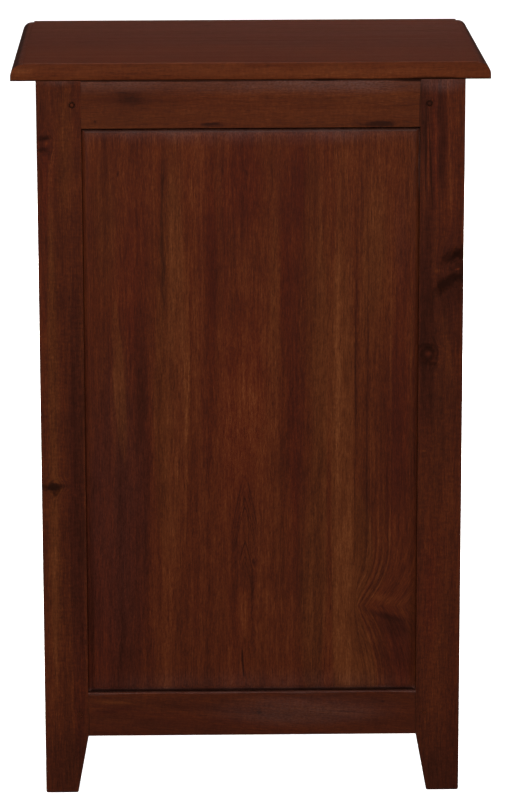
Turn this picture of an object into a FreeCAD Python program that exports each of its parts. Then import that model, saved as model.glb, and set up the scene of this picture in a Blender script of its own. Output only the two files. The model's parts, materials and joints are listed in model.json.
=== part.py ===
import FreeCAD, Part

import math
import os
from collections import namedtuple

from FreeCAD import Vector

# Sizes in millimetres. The table stands on z = 0 with its front towards -y, and the middle of its top
# board is over the origin.
HEIGHT = 680.0
CARCASE_WIDTH = 382.0
CARCASE_DEPTH = 277.5

# Top board. It overhangs both ends and the front, and is square and flush at the back.
TOP_THICKNESS = 16.0
TOP_OVERHANG = 22.5
QUIRK_DEPTH = 1.5
QUIRK_WIDTH = 0.8
OVOLO_RADIUS = 10.5
TOP_ARRIS = 0.5

# Posts. Their feet taper on the two inner faces below the bottom rails.
POST = 40.0
TOE = 30.0
TOE_CHAMFER = 1.0
FOOT_HEIGHT = 55.0
POST_CORNER_RADIUS = 1.2
POST_ARRIS = 0.4

# Rails of the two sides and the back, flush with the posts.
RAIL_THICKNESS = 22.0
TOP_RAIL_HEIGHT = 43.0
BOTTOM_RAIL_HEIGHT = 41.0
RAIL_ARRIS = 0.6

# Front rails and dividers, as deep as the posts.
FRONT_TOP_RAIL_HEIGHT = 24.0
DIVIDER_HEIGHT = 20.0

# Mortise and tenon joints, each held by a peg whittled to eight sides.
TENON_THICKNESS = 8.0
TENON_SHOULDER = 8.0
FRONT_TENON_SHOULDER = 3.0
TENON_WALL = 2.0
TWIN_TENON_GAP = 5.0
MORTISE_END_GAP = 1.0
PEG_DIAMETER = 5.0
PEG_SIDES = 8
PEG_SETBACK = 8.0
PEG_BITE = 10.0
PEG_PLAY = 0.05

# Solid panels, loose in their grooves, with a rounded margin on the outer face.
GROOVE_SETBACK = 4.5
GROOVE_WIDTH = 7.0
GROOVE_DEPTH = 8.0
PANEL_END_GAP = 1.0
PANEL_PLAY = 0.2
PANEL_FIELD_SETBACK = 0.6
PANEL_MARGIN = 8.5

# Runners carry the drawers, guides steer them, and kickers keep the upper one level.
RUNNER_REACH = 18.0
GUIDE_HEIGHT = 14.0
STUB_LENGTH = 8.0
STUB_WIDTH = 10.0
STUB_THICKNESS = 8.0
STUB_END_GAP = 0.5
STOP_WIDTH = 24.0
STOP_LENGTH = 14.0
STOP_HEIGHT = 5.0
STOP_SPREAD = 140.0

# Drawers, inset and flush with the front.
DRAWER_STEP = 18.0
DRAWER_SIDE_GAP = 1.0
DRAWER_TOP_GAP = 1.2
RUNNING_GAP = 0.3
DRAWER_BACK_ROOM = 15.5
DRAWER_FRONT_THICKNESS = 18.0
DRAWER_FRONT_ARRIS = 0.8
DRAWER_SIDE_THICKNESS = 10.0
DRAWER_BACK_THICKNESS = 10.0
DRAWER_BACK_DROP = 6.0
DRAWER_BOTTOM_THICKNESS = 5.0
DRAWER_BOTTOM_LIFT = 8.0
DRAWER_GROOVE_DEPTH = 5.0
DRAWER_BOTTOM_PLAY = 0.1

# Dovetails at the drawer corners: lapped at the front, through at the back.
TAIL_COUNT = 4
PIN_WIDTH = 6.0
TAIL_SLOPE_SHARE = 1 / 7
FRONT_LAP = 5.0

# Square knob with a tapered neck and a faceted head. The places of its neck and its widest band are
# shares of how far it stands out.
KNOB_WIDTH = 27.0
KNOB_NECK_WIDTH = 13.0
KNOB_BASE_WIDTH = 18.0
KNOB_TIP_WIDTH = 9.0
KNOB_PROJECTION = 22.0
KNOB_RIM = 1.6
KNOB_NECK_SHARE = 0.38
KNOB_BAND_SHARES = (0.66, 0.80)

# Flat-headed wood screws. Those through the kickers stand at a share of the way from the front posts
# to the back ones.
SCREW_DIAMETER = 4.0
SCREW_HEAD_DIAMETER = 8.0
SCREW_HEAD_HEIGHT = 2.2
SCREW_PLAY = 0.1
KNOB_SCREW_BITE = 12.0
TOP_SCREW_BITE = 10.0
TOP_SCREW_SHARE = 1 / 4

# Turn buttons that hold the top board to the back rail.
BUTTON_WIDTH = 30.0
BUTTON_REACH = 28.0
BUTTON_THICKNESS = 14.0
BUTTON_TONGUE = 6.0
BUTTON_SLOT_PLAY = 1.0
BUTTON_SPREAD = 150.0

# Cuts run this far past the faces that they open.
OVERRUN = 1.0

# Places that follow from the sizes above.
CARCASE_HEIGHT = HEIGHT - TOP_THICKNESS
HALF_WIDTH = CARCASE_WIDTH / 2
FRONT_FACE = (TOP_OVERHANG - CARCASE_DEPTH) / 2
BACK_FACE = FRONT_FACE + CARCASE_DEPTH
OPENING_EDGE = HALF_WIDTH - POST
RAIL_INSIDE = HALF_WIDTH - RAIL_THICKNESS
POSTS_FRONT = FRONT_FACE + POST
POSTS_BACK = BACK_FACE - POST

TOP_RAIL_LOW = CARCASE_HEIGHT - TOP_RAIL_HEIGHT
BOTTOM_RAIL_HIGH = FOOT_HEIGHT + BOTTOM_RAIL_HEIGHT
FRONT_TOP_RAIL_LOW = CARCASE_HEIGHT - FRONT_TOP_RAIL_HEIGHT

TENON_SETBACK = (RAIL_THICKNESS - TENON_THICKNESS) / 2
TENON_LENGTH = POST - TENON_SETBACK - TENON_THICKNESS - TENON_WALL - MORTISE_END_GAP
TWIN_TENON_SETBACK = TENON_SETBACK + TENON_THICKNESS + TWIN_TENON_GAP
PEG_LENGTH = TENON_SETBACK + TENON_THICKNESS + PEG_BITE

OPENINGS_HEIGHT = FRONT_TOP_RAIL_LOW - BOTTOM_RAIL_HIGH - 2 * DIVIDER_HEIGHT
MIDDLE_OPENING = OPENINGS_HEIGHT / 3
LOWER_OPENING = MIDDLE_OPENING + DRAWER_STEP
UPPER_OPENING = MIDDLE_OPENING - DRAWER_STEP
LOWER_DIVIDER_HIGH = BOTTOM_RAIL_HIGH + LOWER_OPENING + DIVIDER_HEIGHT
UPPER_DIVIDER_HIGH = LOWER_DIVIDER_HIGH + MIDDLE_OPENING + DIVIDER_HEIGHT

DRAWER_HALF_WIDTH = OPENING_EDGE - DRAWER_SIDE_GAP
DRAWER_INSIDE = DRAWER_HALF_WIDTH - DRAWER_SIDE_THICKNESS
DRAWER_LENGTH = CARCASE_DEPTH - RAIL_THICKNESS - DRAWER_BACK_ROOM
DRAWER_SLOT_HIGH = DRAWER_BOTTOM_LIFT + DRAWER_BOTTOM_THICKNESS + 2 * DRAWER_BOTTOM_PLAY
KNOB_SCREW_LENGTH = DRAWER_FRONT_THICKNESS + KNOB_SCREW_BITE

# One upright face of the carcase, seen from outside: x runs along it, y goes inwards, z up.
Wall = namedtuple("Wall", "name width corner turn post")

# A rail of a wall: its height range, its depth, its tenons' height range and setbacks, and the edge
# that takes a panel, if any.
Rail = namedtuple("Rail", "name wall low high depth tenon_low tenon_high setbacks panel_edge")

# A drawer and the level of the runners under it.
Drawer = namedtuple("Drawer", "name level opening")

WALLS = [
    Wall("front", CARCASE_WIDTH, Vector(-HALF_WIDTH, FRONT_FACE, 0), 0, "front_left_post"),
    Wall("right", CARCASE_DEPTH, Vector(HALF_WIDTH, FRONT_FACE, 0), 90, "front_right_post"),
    Wall("back", CARCASE_WIDTH, Vector(HALF_WIDTH, BACK_FACE, 0), 180, "back_right_post"),
    Wall("left", CARCASE_DEPTH, Vector(-HALF_WIDTH, BACK_FACE, 0), 270, "back_left_post"),
]
PANELLED_WALLS = WALLS[1:]

DRAWERS = [
    Drawer("upper", UPPER_DIVIDER_HIGH, UPPER_OPENING),
    Drawer("middle", LOWER_DIVIDER_HIGH, MIDDLE_OPENING),
    Drawer("lower", BOTTOM_RAIL_HIGH, LOWER_OPENING),
]

SIDES = (("left", -1), ("right", 1))


def block(x, y, z):
    """A box between the low and high of each of three pairs, given in any order."""
    (x0, x1), (y0, y1), (z0, z1) = sorted(x), sorted(y), sorted(z)
    return Part.makeBox(x1 - x0, y1 - y0, z1 - z0, Vector(x0, y0, z0))


def around(middle, width):
    """The pair of ends of a width about its middle."""
    return (middle - width / 2, middle + width / 2)


def closed_face(nodes):
    """A flat face whose border runs straight to each point, or by an arc to a (through, to) pair."""
    here = nodes[-1][1] if isinstance(nodes[-1], tuple) else nodes[-1]
    edges = []
    for node in nodes:
        if isinstance(node, tuple):
            edges.append(Part.Arc(here, node[0], node[1]).toShape())
            here = node[1]
        else:
            edges.append(Part.LineSegment(here, node).toShape())
            here = node
    return Part.Face(Part.Wire(edges))


def eased(corners):
    """Border nodes of (point, radius) corners, each one rounded to its radius."""
    nodes = []
    for index, (corner, radius) in enumerate(corners):
        if radius == 0:
            nodes.append(corner)
            continue
        before = (corners[index - 1][0] - corner).normalize()
        after = (corners[(index + 1) % len(corners)][0] - corner).normalize()
        half_angle = before.getAngle(after) / 2
        reach = radius / math.tan(half_angle)
        sagitta = radius / math.sin(half_angle) - radius
        nodes.append(corner + before * reach)
        nodes.append((corner + (before + after).normalize() * sagitta, corner + after * reach))
    return nodes


def stand(shape, wall):
    """A shape drawn in a wall's own frame, moved to that wall."""
    placed = shape.copy()
    placed.rotate(Vector(0, 0, 0), Vector(0, 0, 1), wall.turn)
    placed.translate(wall.corner)
    return placed


def screw(length):
    """A screw that points up, the underside of its head on z = 0."""
    head = Part.makeCylinder(SCREW_HEAD_DIAMETER / 2, SCREW_HEAD_HEIGHT, Vector(0, 0, -SCREW_HEAD_HEIGHT))
    return head.fuse(Part.makeCylinder(SCREW_DIAMETER / 2, length))


def screw_hole(length):
    """The hole for such a screw, with a little room all round it."""
    return Part.makeCylinder(SCREW_DIAMETER / 2 + SCREW_PLAY, OVERRUN + length + SCREW_PLAY,
                             Vector(0, 0, -OVERRUN))


def top_screw_places():
    """Where a screw through each kicker goes up into the top board, clear of the drawer beside it."""
    beside = (OPENING_EDGE + RAIL_INSIDE) / 2
    behind = POSTS_FRONT + (POSTS_BACK - POSTS_FRONT) * TOP_SCREW_SHARE
    return [Vector(sign * beside, behind, FRONT_TOP_RAIL_LOW) for _, sign in SIDES]


def button_screw_places():
    """Where the screws of the turn buttons go up into the top board."""
    behind = BACK_FACE - RAIL_THICKNESS - BUTTON_REACH / 2
    return [Vector(sign * BUTTON_SPREAD / 2, behind, CARCASE_HEIGHT - BUTTON_THICKNESS)
            for _, sign in SIDES]


def moved(shape, places):
    """Copies of a shape at each of some places."""
    copies = []
    for place in places:
        copy = shape.copy()
        copy.translate(place)
        copies.append(copy)
    return copies


def top_screw_holes():
    """The holes of the screws through the kickers."""
    return moved(screw_hole(FRONT_TOP_RAIL_HEIGHT + TOP_SCREW_BITE), top_screw_places())


def button_screw_holes():
    """The holes of the turn buttons' screws."""
    return moved(screw_hole(BUTTON_THICKNESS + TOP_SCREW_BITE), button_screw_places())


def top_board():
    """A board with a quirk and ovolo worked on both ends and the front, mitred at the corners."""
    half_width = HALF_WIDTH + TOP_OVERHANG
    front = FRONT_FACE - TOP_OVERHANG
    ledge = HEIGHT - QUIRK_DEPTH
    inset = OVOLO_RADIUS + QUIRK_WIDTH

    def moulded(end, sign, along):
        """Corners of the worked edge whose outer face is at end, from the bottom up."""
        inner = end - sign * inset
        return [
            (along(end, CARCASE_HEIGHT), TOP_ARRIS),
            (along(end, ledge), OVOLO_RADIUS),
            (along(inner, ledge), 0),
            (along(inner, HEIGHT), TOP_ARRIS),
        ]

    def across(x, z):
        return Vector(x, front, z)

    def endwise(y, z):
        return Vector(-half_width, y, z)

    long_way = moulded(half_width, 1, across) + moulded(-half_width, -1, across)[::-1]
    square_edge = [(endwise(BACK_FACE, CARCASE_HEIGHT), TOP_ARRIS), (endwise(BACK_FACE, HEIGHT), TOP_ARRIS)]
    short_way = square_edge + moulded(front, -1, endwise)[::-1]
    board = closed_face(eased(long_way)).extrude(Vector(0, BACK_FACE - front, 0))
    board = board.common(closed_face(eased(short_way)).extrude(Vector(2 * half_width, 0, 0)))
    return board.cut(top_screw_holes() + button_screw_holes())


def post_section(z, size, inset):
    """The section of a post at one height, its outer corner on the wall's corner."""
    low = inset
    high = size - inset
    corners = [
        (Vector(low, low, z), POST_CORNER_RADIUS),
        (Vector(high, low, z), POST_ARRIS),
        (Vector(high, high, z), 0),
        (Vector(low, high, z), POST_ARRIS),
    ]
    return closed_face(eased(corners)).OuterWire


def post_blank():
    """A post before its joints are cut, with a tapered foot and an eased toe."""
    sections = [
        post_section(0, TOE, TOE_CHAMFER),
        post_section(TOE_CHAMFER, TOE, 0),
        post_section(FOOT_HEIGHT, POST, 0),
        post_section(CARCASE_HEIGHT, POST, 0),
    ]
    return Part.makeLoft(sections, True, True)


def panelled_rails(wall):
    """The top and bottom rails of a wall that holds a panel."""
    top = Rail(wall.name + "_top_rail", wall, TOP_RAIL_LOW, CARCASE_HEIGHT, RAIL_THICKNESS,
               TOP_RAIL_LOW + GROOVE_DEPTH, CARCASE_HEIGHT - TENON_SHOULDER,
               [TENON_SETBACK], TOP_RAIL_LOW)
    bottom = Rail(wall.name + "_bottom_rail", wall, FOOT_HEIGHT, BOTTOM_RAIL_HIGH, RAIL_THICKNESS,
                  FOOT_HEIGHT + TENON_SHOULDER, BOTTOM_RAIL_HIGH - GROOVE_DEPTH,
                  [TENON_SETBACK], BOTTOM_RAIL_HIGH)
    return [top, bottom]


def front_rails(wall):
    """The rails and dividers that frame the drawers, each with twin tenons."""
    setbacks = [TENON_SETBACK, TWIN_TENON_SETBACK]
    levels = [
        ("front_top_rail", CARCASE_HEIGHT, FRONT_TOP_RAIL_HEIGHT, FRONT_TENON_SHOULDER, TENON_SHOULDER),
        ("upper_divider", UPPER_DIVIDER_HIGH, DIVIDER_HEIGHT, FRONT_TENON_SHOULDER, FRONT_TENON_SHOULDER),
        ("lower_divider", LOWER_DIVIDER_HIGH, DIVIDER_HEIGHT, FRONT_TENON_SHOULDER, FRONT_TENON_SHOULDER),
        ("front_bottom_rail", BOTTOM_RAIL_HIGH, BOTTOM_RAIL_HEIGHT, TENON_SHOULDER, FRONT_TENON_SHOULDER),
    ]
    return [Rail(name, wall, high - height, high, POST, high - height + under, high - over, setbacks, None)
            for name, high, height, under, over in levels]


def all_rails():
    """Every rail of the four walls."""
    rails = front_rails(WALLS[0])
    for wall in PANELLED_WALLS:
        rails += panelled_rails(wall)
    return rails


def tenons(rail, end_gap):
    """The tenons at both ends of a rail, or with an end gap, the mortises for them."""
    reach = TENON_LENGTH + end_gap
    ends = [(POST - reach, POST), (rail.wall.width - POST, rail.wall.width - POST + reach)]
    return [block(end, (setback, setback + TENON_THICKNESS), (rail.tenon_low, rail.tenon_high))
            for end in ends for setback in rail.setbacks]


def peg(place, height, play):
    """A peg driven in from the outer face, or with some play, the hole for it."""
    start = -OVERRUN if play else 0
    length = PEG_LENGTH + play - start
    radius = PEG_DIAMETER / 2 + play
    turns = [2 * math.pi * index / PEG_SIDES for index in range(PEG_SIDES)]
    section = [Vector(place + radius * math.cos(turn), start, height + radius * math.sin(turn))
               for turn in turns]
    return closed_face(section).extrude(Vector(0, length, 0))


def pegs(rail, play):
    """The pegs through the outer tenon at both ends of a rail, or with some play, their holes."""
    height = (rail.low + rail.high) / 2
    if rail.panel_edge is None:
        height = (rail.tenon_low + rail.tenon_high) / 2
    places = [POST - PEG_SETBACK, rail.wall.width - POST + PEG_SETBACK]
    return [peg(place, height, play) for place in places]


def is_pegged(rail):
    """The dividers are glued, and every other rail is pegged as well."""
    return rail.name not in ("upper_divider", "lower_divider")


def rail_section(rail):
    """The section of a rail at the end of its first tenon, with a panel groove in its panel edge."""
    start = POST

    def at(y, z):
        return Vector(start, y, z)

    if rail.panel_edge is None:
        return closed_face(eased([
            (at(0, rail.low), RAIL_ARRIS), (at(0, rail.high), RAIL_ARRIS),
            (at(rail.depth, rail.high), 0), (at(rail.depth, rail.low), 0)]))
    edge = rail.panel_edge
    far = rail.low + rail.high - edge
    floor = edge + math.copysign(GROOVE_DEPTH, far - edge)
    groove_back = GROOVE_SETBACK + GROOVE_WIDTH
    return closed_face(eased([
        (at(0, far), 0), (at(0, edge), RAIL_ARRIS),
        (at(GROOVE_SETBACK, edge), 0), (at(GROOVE_SETBACK, floor), 0),
        (at(groove_back, floor), 0), (at(groove_back, edge), 0),
        (at(rail.depth, edge), 0), (at(rail.depth, far), 0)]))


def rail_solid(rail):
    """A rail with its tenons, peg holes and panel groove, in its wall's frame."""
    body = rail_section(rail).extrude(Vector(rail.wall.width - 2 * POST, 0, 0))
    body = body.fuse(tenons(rail, 0)).removeSplitter()
    return body.cut(pegs(rail, PEG_PLAY)) if is_pegged(rail) else body


def panel_span(low, high):
    """How far a panel reaches between two frame edges, with room for the wood to move."""
    reach = GROOVE_DEPTH - PANEL_END_GAP
    return (low - reach, high + reach)


def panel_section(edges, to_space):
    """A panel's section across a pair of frame edges: a thin tongue, then a rounded margin, then the field."""
    outer = panel_span(*edges)
    back = GROOVE_SETBACK + GROOVE_WIDTH - PANEL_PLAY
    tongue = GROOVE_SETBACK + PANEL_PLAY
    fall = tongue - PANEL_FIELD_SETBACK
    radius = (PANEL_MARGIN ** 2 + fall ** 2) / (2 * fall)
    half_sweep = math.atan2(PANEL_MARGIN, radius - fall) / 2
    aside = radius * math.sin(half_sweep)
    down = radius - radius * math.cos(half_sweep)
    rise = edges[0] + PANEL_MARGIN
    drop = edges[1] - PANEL_MARGIN
    middle = PANEL_FIELD_SETBACK + down
    return closed_face([
        to_space(outer[0], back),
        to_space(outer[0], tongue),
        to_space(edges[0], tongue),
        (to_space(rise - aside, middle), to_space(rise, PANEL_FIELD_SETBACK)),
        to_space(drop, PANEL_FIELD_SETBACK),
        (to_space(drop + aside, middle), to_space(edges[1], tongue)),
        to_space(outer[1], tongue),
        to_space(outer[1], back),
    ])


def panel(wall):
    """A solid panel whose rounded margins meet in mitres at its corners."""
    across = (POST, wall.width - POST)
    upright = (BOTTOM_RAIL_HIGH, TOP_RAIL_LOW)
    low, high = panel_span(*upright)
    left, right = panel_span(*across)
    wide = panel_section(across, lambda a, y: Vector(a, y, low)).extrude(Vector(0, 0, high - low))
    tall = panel_section(upright, lambda a, y: Vector(left, y, a)).extrude(Vector(right - left, 0, 0))
    return wide.common(tall)


def post_grooves(wall):
    """The panel grooves in the two posts of a wall."""
    depth = (GROOVE_SETBACK, GROOVE_SETBACK + GROOVE_WIDTH)
    height = (BOTTOM_RAIL_HIGH - GROOVE_DEPTH, TOP_RAIL_LOW + GROOVE_DEPTH)
    ends = [(POST - GROOVE_DEPTH, POST), (wall.width - POST, wall.width - POST + GROOVE_DEPTH)]
    return [block(end, depth, height) for end in ends]


def runner_levels():
    """The middle height of each pair of bars that joins the front rails to the back posts."""
    levels = [drawer.level - DIVIDER_HEIGHT / 2 for drawer in DRAWERS]
    return levels + [FRONT_TOP_RAIL_LOW + FRONT_TOP_RAIL_HEIGHT / 2]


def stubs(sign, middle, end_gap):
    """The short tenons of a runner or kicker, or with an end gap, the mortises for them."""
    reach = STUB_LENGTH + end_gap
    height = around(middle, STUB_THICKNESS)
    front_x = around(sign * (OPENING_EDGE - RUNNER_REACH / 2), STUB_WIDTH)
    back_x = around(sign * (OPENING_EDGE + RAIL_INSIDE) / 2, STUB_WIDTH)
    return [block(front_x, (POSTS_FRONT - reach, POSTS_FRONT), height),
            block(back_x, (POSTS_BACK, POSTS_BACK + reach), height)]


def bar(sign, low, high):
    """A runner or kicker from the front rail to the back post, under or over a drawer's side."""
    body = block((sign * (OPENING_EDGE - RUNNER_REACH), sign * RAIL_INSIDE),
                 (POSTS_FRONT, POSTS_BACK), (low, high))
    return body.fuse(stubs(sign, (low + high) / 2, 0)).removeSplitter()


def guide(sign, level):
    """A strip on a runner, in line with the posts, that keeps a drawer straight."""
    return block((sign * OPENING_EDGE, sign * RAIL_INSIDE), (POSTS_FRONT, POSTS_BACK),
                 (level, level + GUIDE_HEIGHT))


def drawer_stops():
    """A pair of blocks behind each drawer front, under the drawer's bottom."""
    start = FRONT_FACE + DRAWER_FRONT_THICKNESS + RUNNING_GAP
    return [block(around(sign * STOP_SPREAD / 2, STOP_WIDTH), (start, start + STOP_LENGTH),
                  (drawer.level, drawer.level + STOP_HEIGHT))
            for drawer in DRAWERS for _, sign in SIDES]


def button_tongue(place, play):
    """The tongue of a turn button, or with some play, the slot for it in the back rail."""
    face = BACK_FACE - RAIL_THICKNESS
    return block(around(place.x, BUTTON_WIDTH + 2 * play), (face, face + BUTTON_TONGUE + play),
                 (place.z - play, place.z + BUTTON_TONGUE))


def top_buttons():
    """Turn buttons, screwed up to the top board, whose tongues hook into the back rail."""
    face = BACK_FACE - RAIL_THICKNESS
    buttons = []
    for place, hole in zip(button_screw_places(), button_screw_holes()):
        body = block(around(place.x, BUTTON_WIDTH), (face - BUTTON_REACH, face), (place.z, CARCASE_HEIGHT))
        buttons.append(body.fuse(button_tongue(place, 0)).removeSplitter().cut(hole))
    return buttons


def tails(low, high, base, tip):
    """Dovetails spread over a height, narrow at their base and wide at their tip, one board thick in x."""
    pitch = (high - low) / TAIL_COUNT
    half_tip = (pitch - PIN_WIDTH) / 2
    half_base = half_tip - abs(tip - base) * TAIL_SLOPE_SHARE
    start = DRAWER_INSIDE
    solids = []
    for index in range(TAIL_COUNT):
        middle = low + (index + 1 / 2) * pitch
        outline = closed_face([
            Vector(start, base, middle - half_base), Vector(start, tip, middle - half_tip),
            Vector(start, tip, middle + half_tip), Vector(start, base, middle + half_base)])
        solids.append(outline.extrude(Vector(DRAWER_SIDE_THICKNESS, 0, 0)))
    return solids


def mirrored(shape):
    """The same shape on the left side."""
    return shape.mirror(Vector(0, 0, 0), Vector(1, 0, 0))


def drawer_pieces(height):
    """The boards of one drawer, with its front face on y = 0 and its lower edges on z = 0."""
    inside = DRAWER_FRONT_THICKNESS
    back_start = DRAWER_LENGTH - DRAWER_BACK_THICKNESS
    back_height = (DRAWER_SLOT_HIGH, height - DRAWER_BACK_DROP)
    side_x = (DRAWER_INSIDE, DRAWER_HALF_WIDTH)

    slot_reach = DRAWER_INSIDE + DRAWER_GROOVE_DEPTH
    slot = block((-slot_reach, slot_reach), (inside - DRAWER_GROOVE_DEPTH, DRAWER_LENGTH + OVERRUN),
                 (DRAWER_BOTTOM_LIFT, DRAWER_SLOT_HIGH))

    front_tails = tails(0, height, inside, FRONT_LAP)
    back_tails = tails(*back_height, back_start, DRAWER_LENGTH)
    pins = block(side_x, (back_start, DRAWER_LENGTH), back_height).cut(back_tails)

    side = block(side_x, (inside, DRAWER_LENGTH), (0, height)).fuse(front_tails)
    side = side.cut([pins, slot]).removeSplitter()

    front = block((-DRAWER_HALF_WIDTH, DRAWER_HALF_WIDTH), (0, inside), (0, height))
    face_edges = [edge for edge in front.Edges if edge.BoundBox.YMax < DRAWER_FRONT_ARRIS]
    front = front.makeFillet(DRAWER_FRONT_ARRIS, face_edges)
    front = front.cut(front_tails + [mirrored(tail) for tail in front_tails] + [slot])
    front = front.cut(at_knob(screw_hole(KNOB_SCREW_LENGTH), height))

    back = block((-DRAWER_INSIDE, DRAWER_INSIDE), (back_start, DRAWER_LENGTH), back_height)
    back = back.fuse([pins, mirrored(pins)]).removeSplitter()

    bottom_reach = slot_reach - DRAWER_BOTTOM_PLAY
    bottom_low = DRAWER_BOTTOM_LIFT + DRAWER_BOTTOM_PLAY
    bottom = block((-bottom_reach, bottom_reach),
                   (inside - DRAWER_GROOVE_DEPTH + DRAWER_BOTTOM_PLAY, DRAWER_LENGTH),
                   (bottom_low, bottom_low + DRAWER_BOTTOM_THICKNESS))
    return {
        "drawer_front": front,
        "drawer_left_side": mirrored(side),
        "drawer_right_side": side,
        "drawer_back": back,
        "drawer_bottom": bottom,
        "knob": knob(height),
        "knob_screw": at_knob(screw(KNOB_SCREW_LENGTH), height),
    }


def at_knob(upright, height):
    """A screw or its hole, laid down to point forwards through the middle of a drawer front."""
    upright.rotate(Vector(0, 0, 0), Vector(1, 0, 0), 90)
    upright.translate(Vector(0, DRAWER_FRONT_THICKNESS, height / 2))
    return upright


def knob(height):
    """A square knob, cut to one outline both ways: a rim, a thin neck, and a broad head with a pyramid."""
    band = [KNOB_PROJECTION * share for share in KNOB_BAND_SHARES]
    steps = [
        (0, KNOB_BASE_WIDTH),
        (KNOB_RIM, KNOB_BASE_WIDTH),
        (KNOB_PROJECTION * KNOB_NECK_SHARE, KNOB_NECK_WIDTH),
        (band[0], KNOB_WIDTH),
        (band[1], KNOB_WIDTH),
        (KNOB_PROJECTION, KNOB_TIP_WIDTH),
    ]
    half = KNOB_WIDTH / 2
    middle = height / 2
    sides = [(-width / 2, -out) for out, width in steps] + [(width / 2, -out) for out, width in steps[::-1]]
    flat = closed_face([Vector(aside, out, middle - half) for aside, out in sides])
    upright = closed_face([Vector(-half, out, middle + aside) for aside, out in sides])
    shaped = flat.extrude(Vector(0, 0, KNOB_WIDTH)).common(upright.extrude(Vector(KNOB_WIDTH, 0, 0)))
    return shaped.cut(at_knob(screw_hole(KNOB_SCREW_LENGTH), height))


def carcase():
    """Posts, rails, panels and pegs by name."""
    rails = all_rails()
    cuts = []
    peg_solids = []
    pieces = {}
    for rail in rails:
        cuts += [stand(mortise, rail.wall) for mortise in tenons(rail, MORTISE_END_GAP)]
        pieces[rail.name] = stand(rail_solid(rail), rail.wall)
        if is_pegged(rail):
            cuts += [stand(hole, rail.wall) for hole in pegs(rail, PEG_PLAY)]
            peg_solids += [stand(solid, rail.wall) for solid in pegs(rail, 0)]
    for wall in PANELLED_WALLS:
        cuts += [stand(groove, wall) for groove in post_grooves(wall)]
        pieces[wall.name + "_panel"] = stand(panel(wall), wall)

    stub_cuts = [cut for _, sign in SIDES for level in runner_levels()
                 for cut in stubs(sign, level, STUB_END_GAP)]
    for rail in front_rails(WALLS[0]):
        pieces[rail.name] = pieces[rail.name].cut(stub_cuts)
    slots = [button_tongue(place, BUTTON_SLOT_PLAY) for place in button_screw_places()]
    pieces["back_top_rail"] = pieces["back_top_rail"].cut(slots)

    for wall in WALLS:
        pieces[wall.post] = stand(post_blank(), wall).cut(cuts + stub_cuts)
    pieces["joint_pegs"] = Part.makeCompound(peg_solids)
    return pieces


def inner_works():
    """Runners, guides, kickers, stops and the fixings of the top board by name."""
    pieces = {}
    for side, sign in SIDES:
        for drawer in DRAWERS:
            bottom = drawer.level - DIVIDER_HEIGHT
            pieces[drawer.name + "_" + side + "_runner"] = bar(sign, bottom, drawer.level)
            pieces[drawer.name + "_" + side + "_guide"] = guide(sign, drawer.level)
        kicker = bar(sign, FRONT_TOP_RAIL_LOW, CARCASE_HEIGHT)
        pieces[side + "_kicker"] = kicker.cut(top_screw_holes())
    pieces["drawer_stops"] = Part.makeCompound(drawer_stops())
    pieces["top_buttons"] = Part.makeCompound(top_buttons())
    top_screw = screw(FRONT_TOP_RAIL_HEIGHT + TOP_SCREW_BITE)
    pieces["top_screws"] = Part.makeCompound(moved(top_screw, top_screw_places()))
    button_screw = screw(BUTTON_THICKNESS + TOP_SCREW_BITE)
    pieces["button_screws"] = Part.makeCompound(moved(button_screw, button_screw_places()))
    return pieces


def drawers():
    """The pieces of the three drawers by name, each drawer just clear of its runners."""
    pieces = {}
    for drawer in DRAWERS:
        height = drawer.opening - DRAWER_TOP_GAP - RUNNING_GAP
        for name, shape in drawer_pieces(height).items():
            shape.translate(Vector(0, FRONT_FACE, drawer.level + RUNNING_GAP))
            pieces[drawer.name + "_" + name] = shape
    return pieces


def main():
    """Write one STEP file for each piece."""
    os.makedirs("parts", exist_ok=True)
    pieces = {"top_board": top_board()}
    pieces.update(carcase())
    pieces.update(inner_works())
    pieces.update(drawers())
    for name, shape in pieces.items():
        shape.exportStep("parts/" + name + ".step")
    print(len(pieces), "pieces written")


main()
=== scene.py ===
import json
import math

import bmesh
import bpy
from mathutils import Matrix, Vector

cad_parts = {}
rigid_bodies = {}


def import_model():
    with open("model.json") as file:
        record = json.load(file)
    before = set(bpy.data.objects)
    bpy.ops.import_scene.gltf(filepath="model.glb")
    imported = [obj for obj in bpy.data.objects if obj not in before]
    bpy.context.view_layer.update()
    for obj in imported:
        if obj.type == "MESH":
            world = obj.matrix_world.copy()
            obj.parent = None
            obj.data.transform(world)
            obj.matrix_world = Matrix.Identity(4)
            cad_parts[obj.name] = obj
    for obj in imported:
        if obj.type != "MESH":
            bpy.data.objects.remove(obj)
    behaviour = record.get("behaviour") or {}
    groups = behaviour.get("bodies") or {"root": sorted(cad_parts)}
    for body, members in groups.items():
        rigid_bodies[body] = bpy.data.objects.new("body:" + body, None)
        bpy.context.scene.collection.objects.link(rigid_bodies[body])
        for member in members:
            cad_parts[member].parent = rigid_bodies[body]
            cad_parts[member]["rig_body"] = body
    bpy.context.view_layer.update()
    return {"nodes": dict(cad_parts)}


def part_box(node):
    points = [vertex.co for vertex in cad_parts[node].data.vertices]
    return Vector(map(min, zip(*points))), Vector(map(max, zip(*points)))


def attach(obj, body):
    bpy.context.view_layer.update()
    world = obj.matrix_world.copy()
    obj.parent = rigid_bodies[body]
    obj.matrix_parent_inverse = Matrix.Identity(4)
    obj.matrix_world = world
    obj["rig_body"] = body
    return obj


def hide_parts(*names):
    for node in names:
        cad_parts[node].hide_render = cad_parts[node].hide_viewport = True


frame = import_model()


def lowest(node, axis):
    """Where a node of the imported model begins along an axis, to a hundredth of a millimetre."""
    return round(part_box(node)[0][axis], 5)


def highest(node, axis):
    """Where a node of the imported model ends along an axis, to a hundredth of a millimetre."""
    return round(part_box(node)[1][axis], 5)


X, Y, Z = 0, 1, 2

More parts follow.
